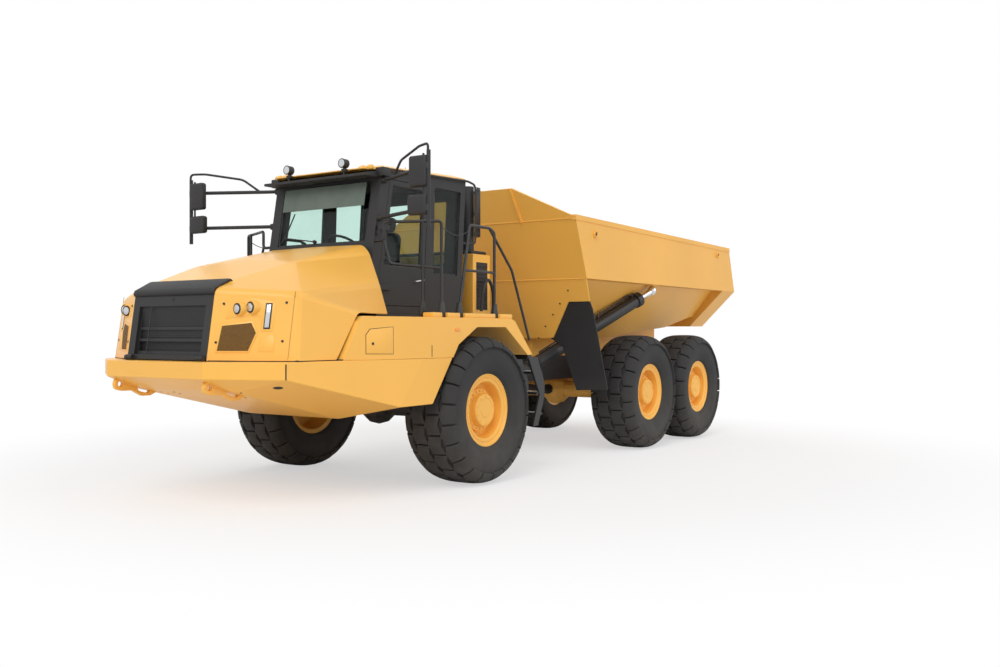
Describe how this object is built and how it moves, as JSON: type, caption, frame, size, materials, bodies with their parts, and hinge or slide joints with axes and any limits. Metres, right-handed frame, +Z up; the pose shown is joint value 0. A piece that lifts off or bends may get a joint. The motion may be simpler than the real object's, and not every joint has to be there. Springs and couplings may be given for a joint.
{
  "type": "articulated dump truck",
  "caption": "Articulated dump truck with cab and tilting hood on the front unit, steered by a turning hitch, and a tipping bed on the rear unit.",
  "frame": {"origin": "on the ground, under the middle of the overall box", "axes": "+Z up; the truck faces -Y; +X is the truck's left side"},
  "size_m": [3.906, 11.667, 3.8709],
  "materials": {
    "yellow_paint": "satin",
    "black_paint": "matte",
    "tyre": "matte",
    "flap_rubber": "matte",
    "glass": "clear",
    "chrome_rod": "polished",
    "dark_cloth": "woven",
    "dark_plastic": "matte"
  },
  "bodies": {
    "tractor": {"front_frame": "black_paint", "front_axle": "black_paint", "bumper": "yellow_paint", "fender_left": "yellow_paint", "fender_right": "yellow_paint", "engine_block": "black_paint", "cab_shell": "black_paint", "cab_roof": "yellow_paint", "visor": "black_paint", "windscreen": "glass", "window_quarter_left": "glass", "window_quarter_right": "glass", "window_right": "glass", "window_rear": "glass", "seat": "dark_cloth", "controls": "dark_plastic", "mirror_left": "black_paint", "mirror_right": "black_paint", "handrail_left": "black_paint", "handrail_right": "black_paint", "ladder": "black_paint", "exhaust_box": "yellow_paint", "exhaust_stack": "black_paint"},
    "hitch": {"hitch": "black_paint"},
    "trailer": {"rear_frame": "black_paint", "middle_axle": "yellow_paint", "rear_axle": "yellow_paint", "walking_beam_left": "yellow_paint", "walking_beam_right": "yellow_paint", "drive_shaft": "black_paint"},
    "bed": {"bed": "yellow_paint", "mud_flap_left": "flap_rubber", "mud_flap_right": "flap_rubber"},
    "hood": {"hood": "yellow_paint", "grille": "black_paint"},
    "door": {"door": "black_paint", "door_glass": "glass"},
    "wheel_front_left": {"tyre_front_left": "tyre", "rim_front_left": "yellow_paint"},
    "wheel_front_right": {"tyre_front_right": "tyre", "rim_front_right": "yellow_paint"},
    "wheel_middle_left": {"tyre_middle_left": "tyre", "rim_middle_left": "yellow_paint"},
    "wheel_middle_right": {"tyre_middle_right": "tyre", "rim_middle_right": "yellow_paint"},
    "wheel_rear_left": {"tyre_rear_left": "tyre", "rim_rear_left": "yellow_paint"},
    "wheel_rear_right": {"tyre_rear_right": "tyre", "rim_rear_right": "yellow_paint"},
    "steering_barrel_left": {"steering_barrel_left": "black_paint"},
    "steering_rod_left": {"steering_rod_left": "chrome_rod"},
    "steering_barrel_right": {"steering_barrel_right": "black_paint"},
    "steering_rod_right": {"steering_rod_right": "chrome_rod"},
    "hoist_barrel_left": {"hoist_barrel_left": "black_paint"},
    "hoist_rod_left": {"hoist_rod_left": "chrome_rod"},
    "hoist_barrel_right": {"hoist_barrel_right": "black_paint"},
    "hoist_rod_right": {"hoist_rod_right": "chrome_rod"}
  },
  "joints": [
    {"name": "articulation", "type": "hinge", "parent": "tractor", "child": "hitch", "pos_m": [0, -0.9665, 1.09], "axis": [0, 0, 1], "range_deg": [-45, 45]},
    {"name": "oscillation", "type": "hinge", "parent": "hitch", "child": "trailer", "pos_m": [0, -0.9665, 1.09], "axis": [0, 1, 0], "continuous": true},
    {"name": "bed_tip", "type": "hinge", "parent": "trailer", "child": "bed", "pos_m": [0, 4.4835, 1.55], "axis": [-1, 0, 0], "range_deg": [0, 70]},
    {"name": "hood_tilt", "type": "hinge", "parent": "tractor", "child": "hood", "pos_m": [0, -5.6965, 1.56], "axis": [1, 0, 0], "range_deg": [0, 50]},
    {"name": "door_swing", "type": "hinge", "parent": "tractor", "child": "door", "pos_m": [0.886, -3.3965, 2.13], "axis": [0, 0, -1], "range_deg": [0, 42]},
    {"name": "wheel_front_left_spin", "type": "hinge", "parent": "tractor", "child": "wheel_front_left", "pos_m": [1.435, -2.3665, 0.885], "axis": [1, 0, 0], "continuous": true},
    {"name": "wheel_front_right_spin", "type": "hinge", "parent": "tractor", "child": "wheel_front_right", "pos_m": [-1.435, -2.3665, 0.885], "axis": [1, 0, 0], "continuous": true},
    {"name": "wheel_middle_left_spin", "type": "hinge", "parent": "trailer", "child": "wheel_middle_left", "pos_m": [1.435, 2.1135, 0.885], "axis": [1, 0, 0], "continuous": true},
    {"name": "wheel_middle_right_spin", "type": "hinge", "parent": "trailer", "child": "wheel_middle_right", "pos_m": [-1.435, 2.1135, 0.885], "axis": [1, 0, 0], "continuous": true},
    {"name": "wheel_rear_left_spin", "type": "hinge", "parent": "trailer", "child": "wheel_rear_left", "pos_m": [1.435, 4.0235, 0.885], "axis": [1, 0, 0], "continuous": true},
    {"name": "wheel_rear_right_spin", "type": "hinge", "parent": "trailer", "child": "wheel_rear_right", "pos_m": [-1.435, 4.0235, 0.885], "axis": [1, 0, 0], "continuous": true},
    {"name": "steering_barrel_left_pivot", "type": "hinge", "parent": "tractor", "child": "steering_barrel_left", "pos_m": [0.6, -2.1465, 0.98], "axis": [0, 0, 1], "range_deg": [-3.2, 3.2]},
    {"name": "steering_rod_left_slide", "type": "slide", "parent": "steering_barrel_left", "child": "steering_rod_left", "axis": [-0.1434, 0.9897, 0], "range_m": [-0.308, 0.308]},
    {"name": "steering_barrel_right_pivot", "type": "hinge", "parent": "tractor", "child": "steering_barrel_right", "pos_m": [-0.6, -2.1465, 0.98], "axis": [0, 0, 1], "range_deg": [-3.2, 3.2]},
    {"name": "steering_rod_right_slide", "type": "slide", "parent": "steering_barrel_right", "child": "steering_rod_right", "axis": [0.1434, 0.9897, 0], "range_m": [-0.308, 0.308]},
    {"name": "hoist_barrel_left_pivot", "type": "hinge", "parent": "trailer", "child": "hoist_barrel_left", "pos_m": [0.7, 0.0435, 1.27], "axis": [0.1794, -0.4739, 0.8621], "range_deg": [0, 7.53]},
    {"name": "hoist_rod_left_slide", "type": "slide", "parent": "hoist_barrel_left", "child": "hoist_rod_left", "axis": [0.2802, 0.8647, 0.4169], "range_m": [0, 2.387]},
    {"name": "hoist_barrel_right_pivot", "type": "hinge", "parent": "trailer", "child": "hoist_barrel_right", "pos_m": [-0.7, 0.0435, 1.27], "axis": [0.1794, 0.4739, -0.8621], "range_deg": [0, 7.53]},
    {"name": "hoist_rod_right_slide", "type": "slide", "parent": "hoist_barrel_right", "child": "hoist_rod_right", "axis": [-0.2802, 0.8647, 0.4169], "range_m": [0, 2.387]}
  ],
  "couplings": [
    {"joint": "steering_barrel_left_pivot", "follows": "articulation", "ratio": 0.07054},
    {"joint": "steering_rod_left_slide", "follows": "articulation", "m_per_rad": 0.39163},
    {"joint": "steering_barrel_right_pivot", "follows": "articulation", "ratio": 0.07054},
    {"joint": "steering_rod_right_slide", "follows": "articulation", "m_per_rad": -0.39163},
    {"joint": "hoist_barrel_left_pivot", "follows": "bed_tip", "ratio": 0.10749},
    {"joint": "hoist_rod_left_slide", "follows": "bed_tip", "m_per_rad": 1.9535},
    {"joint": "hoist_barrel_right_pivot", "follows": "bed_tip", "ratio": 0.10749},
    {"joint": "hoist_rod_right_slide", "follows": "bed_tip", "m_per_rad": 1.9535}
  ]
}
